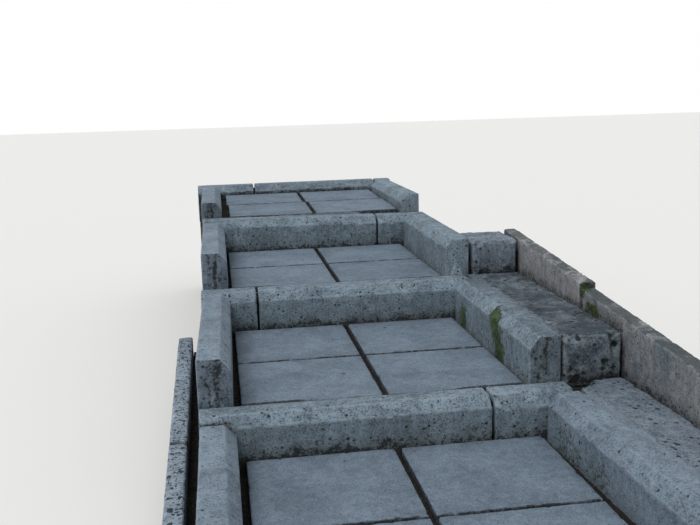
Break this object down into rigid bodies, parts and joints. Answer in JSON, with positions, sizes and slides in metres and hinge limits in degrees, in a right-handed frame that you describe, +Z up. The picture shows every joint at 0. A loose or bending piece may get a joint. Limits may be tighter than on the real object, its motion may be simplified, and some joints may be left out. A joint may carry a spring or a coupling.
{
  "type": "garden steps of concrete kerb stones and paving slabs",
  "caption": "Outdoor flight of long shallow steps: square paving slabs on each landing, closed by chamfered kerb stones, with a rough side shoulder, a sloping outer kerb and a thin edging.",
  "frame": {"origin": "centre of the underside, on the ground at the foot of the first riser", "axes": "+X to the right when going up, +Y uphill, +Z up"},
  "size_m": [1.718, 4.75, 0.737],
  "materials": {
    "kerb_concrete": "weathered, pitted, with moulded edges",
    "slab_concrete": "weathered, fine trowelled face",
    "block_concrete": "rough, pitted and stained",
    "edging_concrete": "weathered, open pores on top",
    "bed_concrete": "lean concrete and earth, as cast"
  },
  "bodies": {
    "root": {"riser_1_left": "kerb_concrete", "riser_1_right": "kerb_concrete", "riser_2_left": "kerb_concrete", "riser_2_right": "kerb_concrete", "riser_3_left": "kerb_concrete", "riser_3_right": "kerb_concrete", "riser_4_left": "kerb_concrete", "riser_4_right": "kerb_concrete", "terrace_kerb_left": "kerb_concrete", "terrace_kerb_middle": "kerb_concrete", "terrace_kerb_right": "kerb_concrete", "left_kerb_1": "kerb_concrete", "left_kerb_2": "kerb_concrete", "left_kerb_3": "kerb_concrete", "left_kerb_4": "kerb_concrete", "right_kerb_1": "kerb_concrete", "right_kerb_2": "kerb_concrete", "right_kerb_3": "kerb_concrete", "right_kerb_4": "kerb_concrete", "slabs_1_front": "slab_concrete", "slabs_1_back": "slab_concrete", "slabs_2_front": "slab_concrete", "slabs_2_back": "slab_concrete", "slabs_3_front": "slab_concrete", "slabs_3_back": "slab_concrete", "slabs_4_front": "slab_concrete", "slabs_4_back": "slab_concrete", "shoulder_block_1": "block_concrete", "shoulder_block_2": "block_concrete", "shoulder_block_3": "block_concrete", "outer_kerb_1": "edging_concrete", "outer_kerb_2": "edging_concrete", "outer_kerb_3": "edging_concrete", "left_edging_1": "edging_concrete", "left_edging_2": "edging_concrete", "left_edging_3": "edging_concrete", "landing_bed_1": "bed_concrete", "landing_bed_2": "bed_concrete", "landing_bed_3": "bed_concrete", "landing_bed_4": "bed_concrete", "terrace_footing": "bed_concrete", "shoulder_bed": "bed_concrete", "edging_fill": "bed_concrete"}
  },
  "joints": []
}
